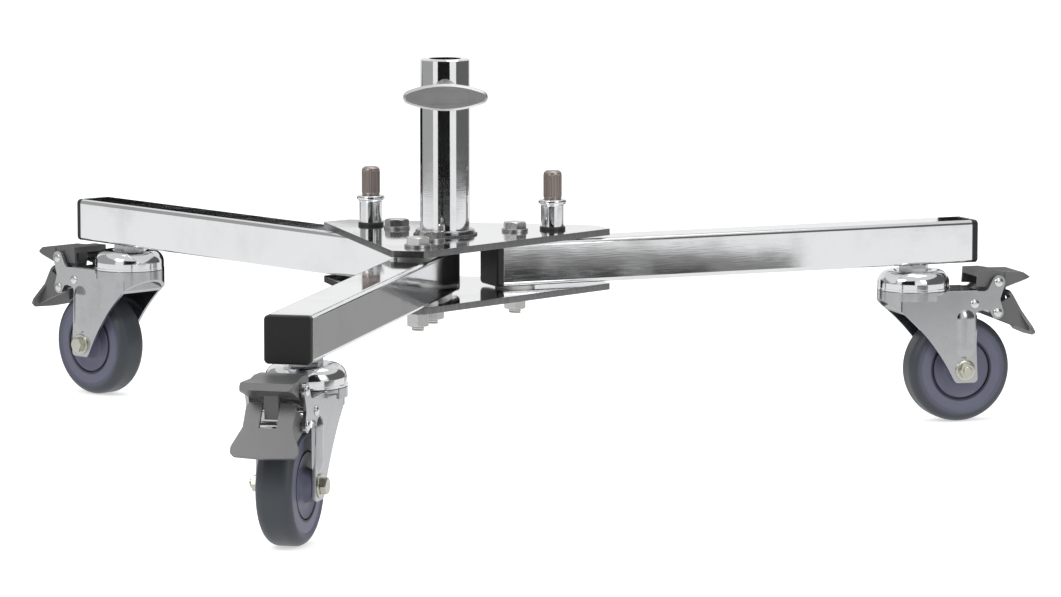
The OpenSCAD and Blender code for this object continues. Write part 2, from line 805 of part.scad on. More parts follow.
// Lower flap that lets the brake off, slotted for the pedal's tongue
module release() {
    flap_t = 3;
    ear_t = 3;
    ear_end = 38;
    tilt = 60;
    flap_l = 48.5;
    slot_l = 22;
    corner = 5;
    root = release_pivot + [12.2, 18.3];
    color("#6a6b6d") difference() {
        union() {
            translate([root[0], 0, root[1]]) rotate([0, tilt, 0])
                linear_extrude(flap_t) offset(r = corner) offset(delta = -corner) polygon([
                    [0, -pedal_in_w / 2], [flap_l * 0.45, -pedal_in_w / 2], [flap_l * 0.8, -flap_w / 2],
                    [flap_l - 1.5, -flap_w / 2], [flap_l, 0], [flap_l - 1.5, flap_w / 2],
                    [flap_l * 0.8, flap_w / 2], [flap_l * 0.45, pedal_in_w / 2], [0, pedal_in_w / 2]
                ]);
            for (side = [-1, 1]) translate([0, side * (pedal_in_w - ear_t) / 2, 0]) across(ear_t) hull() {
                translate(release_pivot) circle(r = ear_r - 1);
                translate(root) rotate(-tilt) translate([corner, -0.5]) square([ear_end, 1]);
            }
        }
        translate([root[0], 0, root[1]]) rotate([0, tilt, 0])
            translate([-1, -slot_w / 2, -1]) cube([slot_l + 1, slot_w, flap_t + 2]);
        translate([release_pivot[0], 0, release_pivot[1]]) rotate([90, 0, 0])
            cylinder(d = pin_d + 2 * run_gap, h = 2 * pedal_w, center = true);
    }
}

module front_caster() {
    at_caster(FRONT, front_reach, front_turn) children();
}

module left_caster() {
    at_caster(LEFT, side_reach, left_turn) children();
}

module right_caster() {
    at_caster(RIGHT, side_reach, right_turn) children();
}

top_plate();
bottom_plate();
column_tube();
column_collar();
clamp_screw();
clamp_handle();
hub_bolts();
hub_nuts();
hub_washers();
slip_discs();
front_leg_tube();
left_leg_tube();
right_leg_tube();
front_end_caps();
left_end_caps();
right_end_caps();
plunger_sleeves();
plunger_base_rings();
left_plunger_spring();
left_plunger_pin();
left_plunger_knob();
right_plunger_spring();
right_plunger_pin();
right_plunger_knob();
front_caster() stem_nut();  // front_stem_nut
front_caster() stem();  // front_stem
front_caster() head();  // front_head
front_caster() balls();  // front_balls
front_caster() fork();  // front_fork
front_caster() axle();  // front_axle
front_caster() wheel_core();  // front_wheel_core
front_caster() tyre();  // front_tyre
front_caster() brake_leaf();  // front_brake_leaf
front_caster() brake_pins();  // front_brake_pins
front_caster() pedal();  // front_pedal
front_caster() release();  // front_release
left_caster() stem_nut();  // left_stem_nut
left_caster() stem();  // left_stem
left_caster() head();  // left_head
left_caster() balls();  // left_balls
left_caster() fork();  // left_fork
left_caster() axle();  // left_axle
left_caster() wheel_core();  // left_wheel_core
left_caster() tyre();  // left_tyre
left_caster() brake_leaf();  // left_brake_leaf
left_caster() brake_pins();  // left_brake_pins
left_caster() pedal();  // left_pedal
left_caster() release();  // left_release
right_caster() stem_nut();  // right_stem_nut
right_caster() stem();  // right_stem
right_caster() head();  // right_head
right_caster() balls();  // right_balls
right_caster() fork();  // right_fork
right_caster() axle();  // right_axle
right_caster() wheel_core();  // right_wheel_core
right_caster() tyre();  // right_tyre
right_caster() brake_leaf();  // right_brake_leaf
right_caster() brake_pins();  // right_brake_pins
right_caster() pedal();  // right_pedal
right_caster() release();  // right_release
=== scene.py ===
"""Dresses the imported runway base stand: finishes, small forms, studio and camera, laid out as an add-on."""

import json
import math

import bmesh
import bpy
from bpy.props import FloatProperty, FloatVectorProperty, IntProperty, PointerProperty
from mathutils import Matrix, Vector

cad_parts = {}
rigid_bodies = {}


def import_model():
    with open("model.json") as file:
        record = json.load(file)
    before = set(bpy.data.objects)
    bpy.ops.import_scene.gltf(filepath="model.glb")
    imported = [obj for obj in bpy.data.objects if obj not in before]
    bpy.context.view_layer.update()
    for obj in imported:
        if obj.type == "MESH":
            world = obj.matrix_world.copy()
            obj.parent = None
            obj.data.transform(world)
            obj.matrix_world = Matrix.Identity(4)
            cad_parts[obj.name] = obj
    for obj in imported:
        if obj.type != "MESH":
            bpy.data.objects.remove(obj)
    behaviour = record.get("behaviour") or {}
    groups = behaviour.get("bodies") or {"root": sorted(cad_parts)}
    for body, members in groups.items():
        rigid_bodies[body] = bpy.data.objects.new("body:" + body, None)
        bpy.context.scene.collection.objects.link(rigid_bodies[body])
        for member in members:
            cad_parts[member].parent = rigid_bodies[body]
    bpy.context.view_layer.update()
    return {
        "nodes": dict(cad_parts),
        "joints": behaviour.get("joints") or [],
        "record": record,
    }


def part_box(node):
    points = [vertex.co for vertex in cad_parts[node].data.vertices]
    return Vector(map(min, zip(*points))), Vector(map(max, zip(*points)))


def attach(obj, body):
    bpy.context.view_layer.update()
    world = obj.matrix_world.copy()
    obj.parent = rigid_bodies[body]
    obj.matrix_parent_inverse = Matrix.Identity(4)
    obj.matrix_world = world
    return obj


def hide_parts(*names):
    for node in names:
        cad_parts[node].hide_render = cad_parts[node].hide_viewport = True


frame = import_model()

bl_info = {
    "name": "Runway Base Stand",
    "version": (1, 0, 0),
    "blender": (4, 5, 0),
    "location": "3D View > Sidebar > Stand",
    "description": "Finishes and small forms of a rolling base with folding legs and braked casters",
    "category": "Object",
}

MM = 0.001
NODES = frame["nodes"]
JOINTS = {j["name"]: j for j in frame["joints"]}
CORNERS = ("front", "left", "right")
CASTER_PARENT = {"front": "hub", "left": "left_leg", "right": "right_leg"}
WHITE = (1.0, 1.0, 1.0)

# The camera as fitted to the photograph, and its side of the stand; angles in degrees
CAMERA_AT = (1.1502, -4.7780, 0.7327)
CAMERA_DOWN = 6.881
CAMERA_TURN = 12.639
VIEW_SIDE = -76.4


# Where things are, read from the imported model

def node_top(node):
    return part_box(node)[1].z


def joint_at(name):
    return Vector(JOINTS[name]["pos_m"])


def caster_frame(corner):
    """Origin on the swivel axis at the floor, X along the caster's heading, Z up."""
    swivel, wheel = joint_at(corner + "_swivel_turn"), joint_at(corner + "_wheel_roll")
    heading = Vector((wheel.x - swivel.x, wheel.y - swivel.y, 0)).normalized()
    side = Vector((-heading.y, heading.x, 0))
    m = Matrix.Identity(4)
    for i, axis in enumerate((heading, side, Vector((0, 0, 1)))):
        m.col[i][:3] = axis
    m.translation = Vector((swivel.x, swivel.y, 0))
    return m


def axle_frame(corner):
    """Origin at the wheel's middle, Z along the axle."""
    m = caster_frame(corner) @ Matrix.Rotation(math.radians(90), 4, "X")
    m.translation = joint_at(corner + "_wheel_roll")
    return m


def put(name, data):
    """A new object of the scene."""
    obj = bpy.data.objects.new(name, data)
    bpy.context.scene.collection.objects.link(obj)
    return obj


# Shader values written as sums

class Num:
    """A shader number that can stand in plain arithmetic."""

    def __init__(self, finish, socket):
        self.finish = finish
        self.socket = socket

    def _math(self, operation, *others):
        node = self.finish.node("ShaderNodeMath", {"operation": operation}, *others)
        return Num(self.finish, node.outputs[0])

    def __add__(self, other):
        return self._math("ADD", self, other)

    __radd__ = __add__

    def __sub__(self, other):
        return self._math("SUBTRACT", self, other)

    def __rsub__(self, other):
        return self._math("SUBTRACT", other, self)

    def __mul__(self, other):
        return self._math("MULTIPLY", self, other)

    __rmul__ = __mul__

    def wave(self):
        return self._math("SINE", self)

    def between(self, low, high):
        """0 below low, 1 above high, smooth in between."""
        node = self.finish.node(
            "ShaderNodeMapRange", {"interpolation_type": "SMOOTHSTEP"}, self, low, high, 0.0, 1.0)
        return Num(self.finish, node.outputs[0])


class Finish:
    """The nodes of one material, or of the world."""

    def __init__(self, owner):
        self.owner = owner
        owner.use_nodes = True
        self.tree = owner.node_tree
        self.tree.nodes.clear()

    @classmethod
    def named(cls, name):
        return cls(bpy.data.materials.new(name))

    def node(self, kind, settings=None, *values, **named):
        n = self.tree.nodes.new(kind)
        for key, value in (settings or {}).items():
            setattr(n, key, value)
        for i, value in enumerate(values):
            self.feed(n.inputs[i], value)
        for key, value in named.items():
            self.feed(n.inputs[key.replace("_", " ")], value)
        return n

    def feed(self, socket, value):
        if isinstance(value, Num):
            self.tree.links.new(value.socket, socket)
        elif isinstance(value, bpy.types.NodeSocket):
            self.tree.links.new(value, socket)
        elif value is not None:
            if socket.type == "RGBA" and len(value) == 3:
                value = (*value, 1.0)
            socket.default_value = value

    def place(self, scale=(1, 1, 1)):
        coords = self.node("ShaderNodeTexCoord").outputs["Object"]
        return self.node("ShaderNodeMapping", None, coords, Scale=scale).outputs[0]

    def noise(self, size_mm, detail=3.0, rough=0.5, stretch=(1, 1, 1)):
        """Noise of about 0 to 1 whose grains are size_mm across."""
        n = self.node("ShaderNodeTexNoise", None, Vector=self.place(stretch), Scale=1 / (size_mm * MM),
                      Detail=detail, Roughness=rough)
        return Num(self, n.outputs["Fac"])

    def cells(self, size_mm):
        """Crystal grains of about size_mm, each at its own level."""
        n = self.node("ShaderNodeTexVoronoi", None, Vector=self.place(), Scale=1 / (size_mm * MM))
        return Num(self, n.outputs["Color"])

    def attribute(self, name):
        return Num(self, self.node("ShaderNodeAttribute", {"attribute_name": name}).outputs["Fac"])

    def mix(self, share, first, second):
        n = self.node("ShaderNodeMix", {"data_type": "RGBA"})
        for i, value in ((0, share), (6, first), (7, second)):
            self.feed(n.inputs[i], value)
        return n.outputs[2]

    def bump(self, height, strength, depth_mm):
        return self.node("ShaderNodeBump", None, Strength=strength, Distance=depth_mm * MM,
                         Height=height).outputs[0]

    def close(self, shader, output="ShaderNodeOutputMaterial"):
        """Ends the nodes in their output and gives back the material or world."""
        self.node(output, None, shader.outputs[0])
        return self.owner

    def surface(self, **sockets):
        return self.close(self.node("ShaderNodeBsdfPrincipled", None, **sockets))


# Finishes

FINISH = {}


def mirror_chrome(name, tint, polish, edge_steel_and_shade=None):
    """Polished plating; the last argument colours the faces that carry the cut_edge attribute: duller cut
    steel, darkened with painted shade in place of the dark reflection on those edges.
    """
    f = Finish.named(name)
    haze = f.noise(46, 4).between(0.42, 0.78)
    lines = f.noise(1.1, 2, stretch=(0.06, 0.06, 1)).between(0.35, 0.75)
    pits = f.noise(0.7, 1).between(0.74, 0.8)
    dull = f.mix(haze, tint, [c * 0.93 for c in tint])
    wavy = f.noise(34, 1.5) + lines * 0.035 - pits * 0.03
    tone = f.mix(pits, dull, [c * 0.72 for c in tint])
    rough = polish + haze * 0.05 + lines * 0.025 + pits * 0.12
    if edge_steel_and_shade is not None:
        # painted shade: the upright cut edges take the dark edge colour in place of the dark reflection they
        # show; the streaks and the rougher finish belong to the cut steel
        upright = f.attribute("cut_edge")
        streaks = f.noise(1.6, 3, stretch=(1, 1, 0.08))
        tone = f.mix(upright * (0.75 + streaks * 0.25), tone, edge_steel_and_shade)
        rough = rough + upright * 0.16
    return f.surface(
        Base_Color=tone, Metallic=1.0, Roughness=rough,
        Normal=f.bump(wavy, 0.55, 0.10))


def satin_zinc(name, tint, rough):
    f = Finish.named(name)
    grain = f.cells(2.4)
    cloud = f.noise(14, 4, 0.55)
    stain = f.noise(26, 4).between(0.5, 0.85)
    tone = f.mix(grain * 0.25 + cloud * 0.75, [c * 0.92 for c in tint], [min(1, c * 1.05) for c in tint])
    return f.surface(
        Base_Color=f.mix(stain * 0.35, tone, [tint[0] * 0.80, tint[1] * 0.79, tint[2] * 0.75]), Metallic=1.0,
        Roughness=rough + cloud * 0.07 + stain * 0.08 - grain * 0.03,
        Normal=f.bump(cloud * 0.6 + f.noise(0.8, 2) * 0.4, 0.2, 0.04))


def turned_steel(name, tint, rough):
    f = Finish.named(name)
    rings = f.noise(0.35, 2, stretch=(0.05, 0.05, 1))
    spots = f.noise(5, 4).between(0.55, 0.8)
    return f.surface(
        Base_Color=f.mix(spots, tint, [c * 0.78 for c in tint]), Metallic=1.0,
        Roughness=rough + rings * 0.12 + spots * 0.12, Normal=f.bump(rings, 0.4, 0.04))


def moulded_plastic(name, tint, rough, grain_mm=0.5, sheen=0.35, metallic=0.0):
    f = Finish.named(name)
    grain = f.noise(grain_mm, 2)
    flow = f.noise(30, 3)
    # scuff streaks, stretched upright: wear that smooths the plastic, and, by the sheen share, painted sheen
    # that lightens the colour
    scuff = f.noise(4, 5, 0.7, stretch=(1, 1, 0.3)).between(0.60, 0.82)
    tone = f.mix(flow, [c * 0.90 for c in tint], [c * 1.10 for c in tint])
    return f.surface(
        Base_Color=f.mix(scuff * sheen, tone, [min(1, c * 1.5 + 0.03) for c in tint]), Metallic=metallic,
        Roughness=rough + flow * 0.08 - scuff * 0.10, Normal=f.bump(grain, 0.45, 0.05))


def wheel_plastic(name, tint, dark):
    """Wheel face: a band of painted shade over its recessed ring, and faint turned rings, by the piece's own
    radius.
    """
    f = Finish.named(name)
    r = f.attribute("radius_mm")
    # painted shade: a band from r 26.4 to 30.8 mm over the recessed ring takes the dark colour, a darker copy
    # of the core's own
    groove_shade = r.between(26.4, 27.2) * (1 - r.between(30.0, 30.8))
    turned = (r * 7.0).wave() * 0.5 + 0.5
    mottled = f.noise(7, 4)
    grime = f.noise(2.2, 5, 0.7).between(0.56, 0.8)
    tone = f.mix(mottled, [c * 0.92 for c in tint], [c * 1.09 for c in tint])
    tone = f.mix(grime * 0.25, tone, [c * 0.7 for c in tint])
    return f.surface(
        Base_Color=f.mix(groove_shade, tone, dark), Roughness=0.36 + mottled * 0.12 + grime * 0.12,
        Normal=f.bump(turned * 0.25 + f.noise(0.5, 2) * 0.5, 0.35, 0.04))


def tread_rubber(name, tint, side):
    """Tread: its side takes the core's colour, and it is worn and scuffed where it rolls."""
    f = Finish.named(name)
    r = f.attribute("radius_mm")
    worn = r.between(47.5, 49.6)
    flank = 1 - r.between(39.5, 45.5)
    scuff = f.noise(3.0, 5, 0.7).between(0.5, 0.75)
    grain = f.noise(0.6, 3)
    tone = f.mix(f.noise(12, 3), [c * 0.88 for c in tint], [c * 1.10 for c in tint])
    tone = f.mix(worn * 0.55 * (0.4 + scuff * 0.6), tone, [tint[0] * 1.25, tint[1] * 1.2, tint[2] * 1.1])
    tone = f.mix(flank * 0.85, tone, side)
    return f.surface(
        Base_Color=tone, Roughness=0.46 + scuff * 0.16 - worn * 0.04,
        Normal=f.bump(grain * 0.7 + scuff * 0.3, 0.4, 0.06))


def studio_sky(strength):
    """A white studio for the camera, and an even soft light for everything else."""
    f = Finish(bpy.data.worlds.new("studio"))
    way = f.node("ShaderNodeTexCoord").outputs["Generated"]
    high = Num(f, f.node("ShaderNodeSeparateXYZ", None, way).outputs[2]).between(0.05, 0.9)
    seen = f.node("ShaderNodeLightPath").outputs["Is Camera Ray"]
    tone = f.node("ShaderNodeMix", {"data_type": "FLOAT"})
    for i, value in ((0, seen), (2, (1.0 - high * 0.22) * strength), (3, 1.0)):
        f.feed(tone.inputs[i], value)
    back = f.node("ShaderNodeBackground", None, WHITE, tone.outputs[0])
    bpy.context.scene.world = f.close(back, "ShaderNodeOutputWorld")


def studio_card(name, mesh, level):
    """A card that only mirrors show, as the dark panels round a product table do."""
    f = Finish.named(name)
    mirrored = f.node("ShaderNodeLightPath").outputs["Is Glossy Ray"]
    clear = f.node("ShaderNodeBsdfTransparent")
    shown = f.node("ShaderNodeEmission", None, (level, level, level), 1.0)
    pick = f.node("ShaderNodeMixShader", None, mirrored, clear.outputs[0], shown.outputs[0])
    mesh.materials.append(f.close(pick))
    card = put(name, mesh)


def bent_card(name, radius, low, high, start, end):
    """An upright card bent round the stand; its ends are in degrees to the right of the camera's side."""
    mesh = bpy.data.meshes.new(name)
    steps = max(2, int(abs(end - start) / 4))
    points = []
    for i in range(steps + 1):
        a = math.radians(VIEW_SIDE + start + (end - start) * i / steps)
        points += [(radius * math.cos(a), radius * math.sin(a), z) for z in (low, high)]
    mesh.from_pydata(points, [], [(2 * i, 2 * i + 2, 2 * i + 3, 2 * i + 1) for i in range(steps)])
    return mesh


# Geometry Nodes, for what repeats or follows a path

class Tree:
    """A Geometry Nodes tree with named inputs, ended in plain faces with a finish."""

    def __init__(self, name, **inputs):
        self.group = bpy.data.node_groups.new(name, "GeometryNodeTree")
        face = self.group.interface
        face.new_socket("Geometry", in_out="INPUT", socket_type="NodeSocketGeometry")
        self.ids = {}
        for label, (kind, default) in {**inputs, "Finish": ("Material", None)}.items():
            socket = face.new_socket(label, in_out="INPUT", socket_type="NodeSocket" + kind)
            if default is not None:
                socket.default_value = default
            self.ids[label] = socket.identifier
        face.new_socket("Geometry", in_out="OUTPUT", socket_type="NodeSocketGeometry")
        self.source = self.group.nodes.new("NodeGroupInput")

    def given(self, label):
        return self.source.outputs[label]

    def node(self, kind, settings=None, **feeds):
        n = self.group.nodes.new(kind)
        for key, value in (settings or {}).items():
            setattr(n, key, value)
        for key, value in feeds.items():
            label = key.replace("_", " ")
            socket = next(s for s in n.inputs if s.name == label and s.enabled)
            for item in value if isinstance(value, list) else [value]:
                if isinstance(item, bpy.types.NodeSocket):
                    self.group.links.new(item, socket)
                else:
                    socket.default_value = item
        return next(s for s in n.outputs if s.enabled)

    def sum(self, operation, first, second):
        n = self.group.nodes.new("ShaderNodeMath")
        n.operation = operation
        for i, value in enumerate((first, second)):
            if isinstance(value, bpy.types.NodeSocket):
                self.group.links.new(value, n.inputs[i])
            else:
                n.inputs[i].default_value = value
        return n.outputs[0]

    def item(self):
        """The shape of the object given as Item."""
        self.node("GeometryNodeObjectInfo", Object=self.given("Item"))
        return next(s for s in self.group.nodes[-1].outputs if s.name == "Geometry")

    def even_chance(self):
        """A random number from -1 to 1 for each item."""
        return self.node("FunctionNodeRandomValue", {"data_type": "FLOAT"}, Min=-1.0, Max=1.0,
                         Seed=self.given("Seed"))

    def joined_with(self, geometry):
        """The piece that carries the tree, with the new geometry added."""
        return self.node("GeometryNodeJoinGeometry", Geometry=[self.given("Geometry"), geometry])

    def end(self, geometry):
        plain = self.node("GeometryNodeRealizeInstances", Geometry=geometry)
        done = self.node("GeometryNodeSetMaterial", Geometry=plain, Material=self.given("Finish"))
        sink = self.group.nodes.new("NodeGroupOutput")
        self.group.links.new(done, sink.inputs[0])
        return self


def seats_tree():
    """One item set on every seat, turned as the seat's own facing says."""
    t = Tree("items_on_seats", Item=("Object", None), Twist=("Float", 0.0), Seed=("Int", 7))
    facing = t.node("GeometryNodeInputNamedAttribute", {"data_type": "FLOAT_VECTOR"}, Name="facing")
    turn = t.node("ShaderNodeCombineXYZ", Z=t.sum("MULTIPLY", t.even_chance(), t.given("Twist")))
    way = t.node("FunctionNodeRotateRotation", {"rotation_space": "LOCAL"}, Rotation=facing, Rotate_By=turn)
    return t.end(t.node("GeometryNodeInstanceOnPoints", Points=t.given("Geometry"), Instance=t.item(),
                        Rotation=way))


def ring_tree():
    """One item repeated round Z, joined with the piece that carries it."""
    t = Tree("items_in_ring", Item=("Object", None), Count=("Int", 24), Radius=("Float", 0.01),
             Uneven=("Float", 0.0), Seed=("Int", 3))
    circle = t.node("GeometryNodeMeshCircle", Vertices=t.given("Count"), Radius=t.given("Radius"))
    step = t.sum("DIVIDE", 2 * math.pi, t.given("Count"))
    angle = t.sum("MULTIPLY", t.node("GeometryNodeInputIndex"), step)
    turn = t.node("ShaderNodeCombineXYZ", Z=angle)
    size = t.sum("ADD", 1.0, t.sum("MULTIPLY", t.even_chance(), t.given("Uneven")))
    return t.end(t.joined_with(t.node("GeometryNodeInstanceOnPoints", Points=circle, Instance=t.item(),
                                      Rotation=turn, Scale=size)))


def thread_tree():
    """A screw thread wound up round Z from Start, joined with the piece that carries it."""
    t = Tree("screw_thread", Radius=("Float", 0.005), Pitch=("Float", 0.00175), Turns=("Float", 4.0),
             Start=("Float", 0.0))
    crest = t.sum("MULTIPLY", t.given("Pitch"), 0.42)
    line = t.sum("SUBTRACT", t.given("Radius"), crest)
    helix = t.node("GeometryNodeCurveSpiral", Resolution=28, Rotations=t.given("Turns"), Start_Radius=line,
                   End_Radius=line, Height=t.sum("MULTIPLY", t.given("Turns"), t.given("Pitch")))
    ridge = t.node("GeometryNodeCurvePrimitiveCircle", Resolution=4, Radius=crest)
    wire = t.node("GeometryNodeCurveToMesh", Curve=helix, Profile_Curve=ridge, Fill_Caps=True)
    lift = t.node("ShaderNodeCombineXYZ", Z=t.given("Start"))
    return t.end(t.joined_with(t.node("GeometryNodeTransform", Geometry=wire, Translation=lift)))


TREES = {}


def grown(name, tree, base, finish, **values):
    """Runs a tree over a mesh and gives back the plain mesh that comes out."""
    if tree not in TREES:
        TREES[tree] = tree()
    made = TREES[tree]
    obj = put(name + "_grown", base)
    modifier = obj.modifiers.new("tree", "NODES")
    modifier.node_group = made.group
    for label, value in {**values, "Finish": FINISH[finish]}.items():
        modifier[made.ids[label]] = value
    mesh = settled(obj)
    obj.modifiers.remove(modifier)
    bpy.data.objects.remove(obj)
    mesh.name = name
    return mesh


def settled(obj):
    """The plain mesh that an object's modifiers make."""
    return bpy.data.meshes.new_from_object(obj.evaluated_get(bpy.context.evaluated_depsgraph_get()))


def drop(obj):
    """Takes away a short-lived object and its mesh."""
    mesh = obj.data
    bpy.data.objects.remove(obj)
    bpy.data.meshes.remove(mesh)


def seats(name, places):
    """A mesh of loose points, each a place in metres and a facing as three angles."""
    mesh = bpy.data.meshes.new(name)
    mesh.from_pydata([p for p, _ in places], [], [])
    tag = mesh.attributes.new("facing", "FLOAT_VECTOR", "POINT")
    tag.data.foreach_set("vector", [v for _, facing in places for v in facing])
    return mesh


# Mesh making

UNTURNED = Matrix.Identity(4)
ON_AXIS = 1e-6


def add_piece(name, mesh, body, finish, replaces, smooth):
    """Puts a finished mesh in the scene on a body; replaces names the CAD nodes that it stands for.

    smooth is the angle in degrees past which an edge shades sharp."""
    obj = put(name, mesh)
    mesh.materials.clear()
    mesh.materials.append(FINISH[finish])
    mesh.polygons.foreach_set("material_index", [0] * len(mesh.polygons))
    shade(mesh, smooth)
    level_normals(obj)
    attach(obj, body)
    if replaces:
        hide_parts(*replaces)


def shade(mesh, angle):
    """Smooth shading that breaks where faces meet at more than the angle."""
    mesh.polygons.foreach_set("use_smooth", [True] * len(mesh.polygons))
    bm = bmesh.new()
    bm.from_mesh(mesh)
    limit = math.radians(angle)
    for e in bm.edges:
        e.smooth = len(e.link_faces) == 2 and e.calc_face_angle(0.0) < limit
    bm.to_mesh(mesh)
    bm.free()


def level_normals(obj):
    """Lets the large faces set the normals, so that flat and straight walls mirror as they should."""
    weigh = obj.modifiers.new("normals", "WEIGHTED_NORMAL")
    weigh.mode = "FACE_AREA"
    weigh.weight = 100
    weigh.keep_sharp = True
    old = obj.data
    obj.data = settled(obj)
    obj.modifiers.remove(weigh)
    obj.data.name = old.name
    bpy.data.meshes.remove(old)


def from_bmesh(name, bm):
    mesh = bpy.data.meshes.new(name)
    bm.to_mesh(mesh)
    bm.free()
    return mesh


def spun(name, lines):
    """Closed profiles of (radius, height) in mm, standing round Z at even steps, closed into one mesh."""
    bm = bmesh.new()
    rings = []
    for k, line in enumerate(lines):
        a = 2 * math.pi * k / len(lines)
        rings.append([bm.verts.new((r * MM * math.cos(a), r * MM * math.sin(a), h * MM)) for r, h in line])
    for k, (line, one) in enumerate(zip(lines, rings)):
        two = rings[(k + 1) % len(rings)]
        for i in range(len(line)):
            j = (i + 1) % len(line)
            if max(line[i][0], line[j][0]) > ON_AXIS:
                bm.faces.new((one[i], two[i], two[j], one[j]))
    bmesh.ops.remove_doubles(bm, verts=bm.verts, dist=1e-7)
    bmesh.ops.recalc_face_normals(bm, faces=bm.faces)
    return from_bmesh(name, bm)


def lathe(name, profile, place, steps=96, radius_tag=False):
    """Turns a closed profile of (radius, height) points in mm round Z, then places it."""
    mesh = spun(name, [profile] * steps)
    if radius_tag:
        tag = mesh.attributes.new("radius_mm", "FLOAT", "POINT")
        tag.data.foreach_set("value", [math.hypot(v.co.x, v.co.y) / MM for v in mesh.vertices])
    mesh.transform(place)
    return mesh


def rounded(points, radius, parts=4):
    """Rounds the corners of a closed profile; radius is in mm."""
    out = []
    n = len(points)
    for i, p in enumerate(points):
        before, here, after = Vector(points[i - 1]), Vector(p), Vector(points[(i + 1) % n])
        a, b = before - here, after - here
        straight = abs(a.normalized().dot(b.normalized())) > 0.995
        if here.x < ON_AXIS or min(a.length, b.length) < 1e-6 or straight:
            out.append(tuple(here))
            continue
        cut = min(radius, a.length * 0.45, b.length * 0.45)
        start, end = here + a.normalized() * cut, here + b.normalized() * cut
        for k in range(parts + 1):
            t = k / parts
            out.append(tuple(start * (1 - t) ** 2 + here * 2 * t * (1 - t) + end * t ** 2))
    return out


def hex_block(name, across, height, bore=0.0, base=0.0, low_chamfer=False):
    """A hexagon with turned chamfers, its corners across mm apart, standing on base mm."""
    steps, slope = 72, math.tan(math.radians(30))
    flat = across / 2 * math.cos(math.radians(30))
    turned = flat * 0.97
    lines = []
    for k in range(steps):
        a = 2 * math.pi * k / steps
        r = flat / math.cos((a % (math.pi / 3)) - math.pi / 6)
        fall = (r - turned) * slope
        lines.append([(q, base + h) for q, h in (
            (bore, 0), (turned, 0), (r, fall if low_chamfer else 0.0), (r, height - fall), (turned, height),
            (bore, height))])
    return spun(name, lines)


def joined(name, *parts):
    """One mesh out of several; the parts are used up."""
    bm = bmesh.new()
    for part in parts:
        bm.from_mesh(part)
    mesh = from_bmesh(name, bm)
    for part in parts:
        bpy.data.meshes.remove(part)
    return mesh


def arc(centre, radius, start, end, parts=10):
    """Points of an arc in a profile; angles in degrees."""
    out = []
    for i in range(parts + 1):
        a = math.radians(start + (end - start) * i / parts)
        out.append((centre[0] + radius * math.cos(a), centre[1] + radius * math.sin(a)))
    return out


def lifted(x, y, z_mm):
    return Matrix.Translation((x, y, z_mm * MM))


def softened(node, width_mm, segments=2):
    """A merged copy of a CAD node with its sharp edges eased."""
    bm = bmesh.new()
    bm.from_mesh(NODES[node].data)
    bmesh.ops.remove_doubles(bm, verts=bm.verts, dist=2e-6)
    bmesh.ops.dissolve_limit(
        bm, angle_limit=math.radians(0.6), verts=bm.verts, edges=bm.edges, delimit={"NORMAL"})
    obj = put("easing", from_bmesh(node + "_merged", bm))
    bevel = obj.modifiers.new("edges", "BEVEL")
    bevel.width = width_mm * MM
    bevel.segments = segments
    bevel.limit_method = "ANGLE"
    bevel.angle_limit = math.radians(28)
    bevel.use_clamp_overlap = True
    mesh = settled(obj)
    drop(obj)
    mesh.name = node + "_eased"
    return mesh


def mark_cut_edges(mesh):
    """Tags the upright faces of a sheet piece, where it was cut."""
    tag = mesh.attributes.new("cut_edge", "FLOAT", "FACE")
    tag.data.foreach_set("value", [1.0 if abs(p.normal.z) < 0.5 else 0.0 for p in mesh.polygons])


def dress(node, body, finish, width_mm, segments=2, cut=False):
    """Stands an eased copy in for a CAD node."""
    mesh = softened(node, width_mm, segments)
    if cut:
        mark_cut_edges(mesh)
    add_piece(node + "_skin", mesh, body, finish, (node,), smooth=30)


# Sizes and colours a user would change

COLOUR = {"subtype": "COLOR", "size": 3, "min": 0, "max": 1}


class StandColours(bpy.types.PropertyGroup):
    chrome: FloatVectorProperty(
        name="Chrome", description="Colour of the tubes and plates", default=(0.87, 0.875, 0.885), **COLOUR)
    zinc: FloatVectorProperty(
        name="Zinc", description="Colour of the forks and heads", default=(0.50, 0.51, 0.52), **COLOUR)
    fastener: FloatVectorProperty(
        name="Fasteners", description="Colour of the bolts, nuts and washers",
        default=(0.62, 0.62, 0.61), **COLOUR)
    cap: FloatVectorProperty(
        name="End caps", description="Colour of the tube caps", default=(0.012, 0.012, 0.012), **COLOUR)
    pedal: FloatVectorProperty(
        name="Pedals", description="Colour of the brake pedals", default=(0.155, 0.155, 0.158), **COLOUR)
    knob: FloatVectorProperty(
        name="Knobs", description="Colour of the lock knobs", default=(0.37, 0.315, 0.29), **COLOUR)
    wheel: FloatVectorProperty(
        name="Wheels", description="Colour of the wheel cores", default=(0.115, 0.118, 0.172), **COLOUR)
    tread: FloatVectorProperty(
        name="Treads", description="Colour of the tyres", default=(0.041, 0.048, 0.058), **COLOUR)


